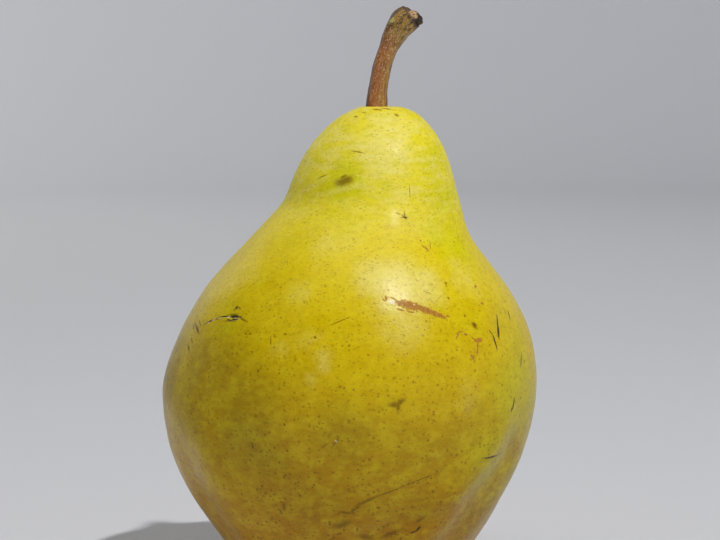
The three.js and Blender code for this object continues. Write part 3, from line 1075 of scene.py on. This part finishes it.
calyx_form = bmesh.new()
join_form(calyx_form, cup_form)
for number in range(SEPALS):
    turn = math.tau * (number + 0.12 * math.sin(2.7 * number)) / SEPALS
    length = SEPAL_LENGTH * (1 - 0.1 * math.cos(1.9 * number))
    curl = 0.5 + 0.5 * math.sin(1.3 * number)
    blade = bmesh.new()
    bmesh.ops.create_grid(blade, x_segments=18, y_segments=8, size=0.5)
    for vert in blade.verts:
        along = vert.co.x + 0.5
        sideways = vert.co.y * SEPAL_WIDTH * (1 - 0.93 * along**1.4)
        ripple = SEPAL_RIPPLE * math.sin(14 * vert.co.y + number)
        fold = (SEPAL_FOLD * abs(vert.co.y) + ripple) * (1 - along)
        drop = 0.25 * along + SEPAL_DROP * along**2 + curl * TIP_CURL * along**4
        reach_out = SEPAL_START + length * along * (1 - 0.12 * curl * along)
        vert.co = Vector((reach_out, sideways, BASIN_DEPTH - 1.0 - drop + fold + SEPAL_THICKNESS / 2))
    bmesh.ops.recalc_face_normals(blade, faces=blade.faces)
    bmesh.ops.solidify(blade, geom=blade.faces, thickness=SEPAL_THICKNESS * 0.8)
    bmesh.ops.recalc_face_normals(blade, faces=blade.faces)
    bmesh.ops.transform(blade, verts=blade.verts, matrix=Matrix.Rotation(turn, 4, "Z"))
    bmesh.ops.translate(blade, verts=blade.verts, vec=(BASIN_X, 0, 0))
    bmesh.ops.scale(blade, verts=blade.verts, vec=(MM, MM, MM))
    join_form(calyx_form, blade)
for number in range(STAMENS):
    turn = math.tau * number / STAMENS
    out = 0.5 if number % 3 == 0 else 1.3
    tilt = Matrix.Rotation(STAMEN_LEAN * math.sin(2.1 * number), 4, "Y")
    foot = Matrix.Translation((out * math.cos(turn) + BASIN_X, out * math.sin(turn), 0))
    stand = Matrix.Scale(MM, 4) @ foot @ tilt @ Matrix.Translation((0, 0, BASIN_DEPTH - 1.9))
    bmesh.ops.create_cone(
        calyx_form,
        cap_ends=True,
        segments=10,
        radius1=STAMEN_RADIUS,
        radius2=ANTHER_RADIUS,
        depth=STAMEN_LENGTH,
        matrix=stand,
    )
calyx = piece("pear_calyx", calyx_form, {})

DRY_BROWN = (0.10, 0.05, 0.022)
DRY_TAN = (0.26, 0.16, 0.08)
DRY_DARK = (0.03, 0.016, 0.008)

start, dry, places = finish_of(calyx, "dry calyx")
veins = cloud(stretched(places, (1, 1, 0.4)), 0.5, 4)
colour = mixed(fade(veins, 0.35, 0.65), DRY_DARK, DRY_BROWN)
colour = mixed(fade(cloud(places, 1.6, 3), 0.5, 0.7) * 0.7, colour, DRY_TAN)
join_finish(start, dry, colour, 0.7 + veins * 0.2, veins * 0.2)

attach(calyx, "root")
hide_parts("calyx")


# The stage: a pale floor that curves up into a wall all round, well behind the camera too. A small
# bright lamp stands high at the right in front, soft ones hang above and at the left, and two light
# the background. The world round it is almost black.
FLOOR_RADIUS = 1.2
FLOOR_CURVE = 0.4
WALL_HEIGHT = 0.7
FLOOR_CURVE_STEPS = 8
FLOOR_SIDES = 96
FLOOR_GREY = (0.69, 0.71, 0.76)
PEAR_MIDDLE = (0, 0, 0.05)
ROOM_GREY = (0.01, 0.01, 0.01)
LAMPS = [  # name, azimuth and elevation in degrees, target, distance and size in m, watts, colour
    ("key", 44, 56, PEAR_MIDDLE, 2.0, 0.06, 24.5, (1.0, 0.98, 0.97)),
    ("overhead", -20, 80, PEAR_MIDDLE, 0.45, 0.3, 0.52, (1.0, 0.96, 0.90)),
    ("left sky", -70, 55, PEAR_MIDDLE, 0.8, 0.5, 0.27, (0.97, 1.0, 1.03)),
    ("backdrop left", -60, 55, (-0.3, 1.25, 0.0), 0.9, 0.5, 2.0, (1.0, 0.98, 0.92)),
    ("backdrop low", 0, 70, (-0.18, 1.0, 0), 0.8, 0.6, 1.0, (1.0, 0.95, 0.84)),
]

floor_profile = [(0, 0), (FLOOR_RADIUS, 0)]
for step in range(1, FLOOR_CURVE_STEPS + 1):
    turn = math.radians(90) * step / FLOOR_CURVE_STEPS
    curve_radius = FLOOR_RADIUS + FLOOR_CURVE * math.sin(turn)
    floor_profile.append((curve_radius, FLOOR_CURVE * (1 - math.cos(turn))))
floor_profile.append((FLOOR_RADIUS + FLOOR_CURVE, WALL_HEIGHT))
bowl = spun(floor_profile, FLOOR_SIDES, 1e-5)
bmesh.ops.reverse_faces(bowl, faces=bowl.faces)
floor = piece("floor", bowl, {})
_, paper, _ = finish_of(floor, "pale floor")
paper.inputs["Base Color"].default_value = (*FLOOR_GREY, 1)
paper.inputs["Roughness"].default_value = 0.8


def lamp(name, azimuth, elevation, target, distance, size, watts, colour):
    """A square area light that faces a target."""
    turn = math.radians(azimuth)
    rise = math.radians(elevation)
    away = Vector((math.sin(turn) * math.cos(rise), -math.cos(turn) * math.cos(rise), math.sin(rise)))
    light = bpy.data.lights.new(name, "AREA")
    light.size = size
    light.energy = watts
    light.color = colour
    made = bpy.data.objects.new(name, light)
    made.location = Vector(target) + away * distance
    made.rotation_euler = away.to_track_quat("Z", "Y").to_euler()
    scene.collection.objects.link(made)


for settings in LAMPS:
    lamp(*settings)
world = bpy.data.worlds.new("dark room")
world.use_nodes = True
world.node_tree.nodes["Background"].inputs["Color"].default_value = (*ROOM_GREY, 1)
scene.world = world
